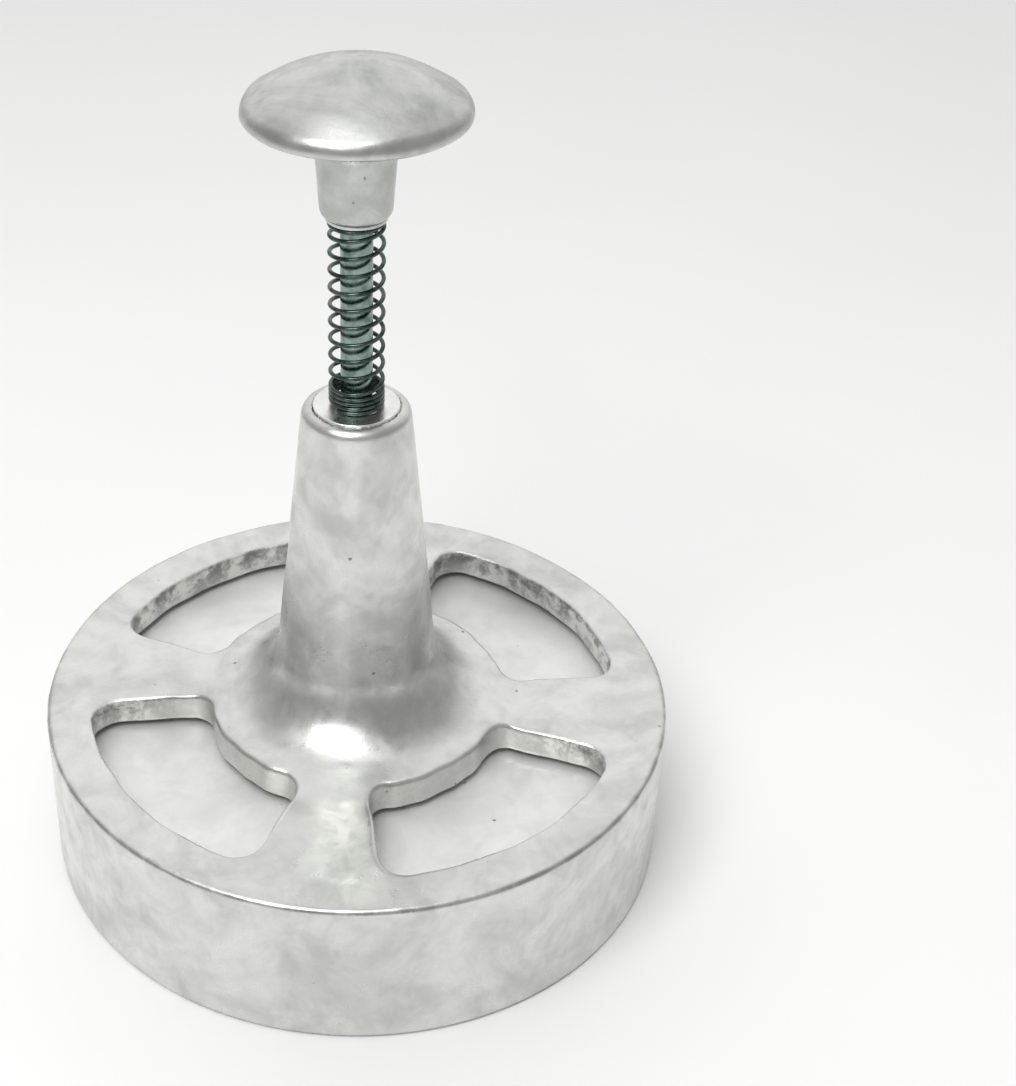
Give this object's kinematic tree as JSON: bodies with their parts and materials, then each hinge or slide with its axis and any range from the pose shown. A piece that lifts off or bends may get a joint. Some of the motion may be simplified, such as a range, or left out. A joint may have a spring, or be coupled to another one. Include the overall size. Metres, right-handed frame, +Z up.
{
  "type": "patty press",
  "caption": "Cast aluminium patty press: round open-bottomed mould with windows and a tapered guide tower, and a sprung mushroom-knob plunger.",
  "frame": {"origin": "centre of the mould's resting rim, on the plunger's axis", "axes": "+Z up along the plunger's axis, +X and +Y along two neighbouring spokes of the mould's top"},
  "size_m": [0.12, 0.12, 0.1583],
  "materials": {
    "cast_aluminium": "satin, hand finished casting",
    "knob_aluminium": "soft polished casting",
    "plate_aluminium": "satin, lightly mottled",
    "bush_metal": "machined",
    "rod_steel": "bright drawn",
    "spring_steel": "bright wire",
    "zinc_hardware": "zinc plated"
  },
  "bodies": {
    "mould": {"mould_body": "cast_aluminium", "upper_guide_bush": "bush_metal", "lower_guide_bush": "bush_metal", "return_spring": "spring_steel"},
    "spring_cap": {"spring_washer": "zinc_hardware"},
    "plunger": {"plunger_rod": "rod_steel", "knob": "knob_aluminium", "press_plate": "plate_aluminium", "stop_washer": "zinc_hardware", "lock_washer": "zinc_hardware", "plate_nut": "zinc_hardware"}
  },
  "joints": [
    {"name": "plunger_slide", "type": "slide", "parent": "mould", "child": "spring_cap", "axis": [0, 0, -1], "range_m": [0, 0.018], "stiffness_N_per_m": 460, "springref_m": -0.01, "deforming": ["return_spring"]},
    {"name": "plunger_spin", "type": "hinge", "parent": "spring_cap", "child": "plunger", "pos_m": [0, 0, 0.1], "axis": [0, 0, 1], "continuous": true}
  ]
}
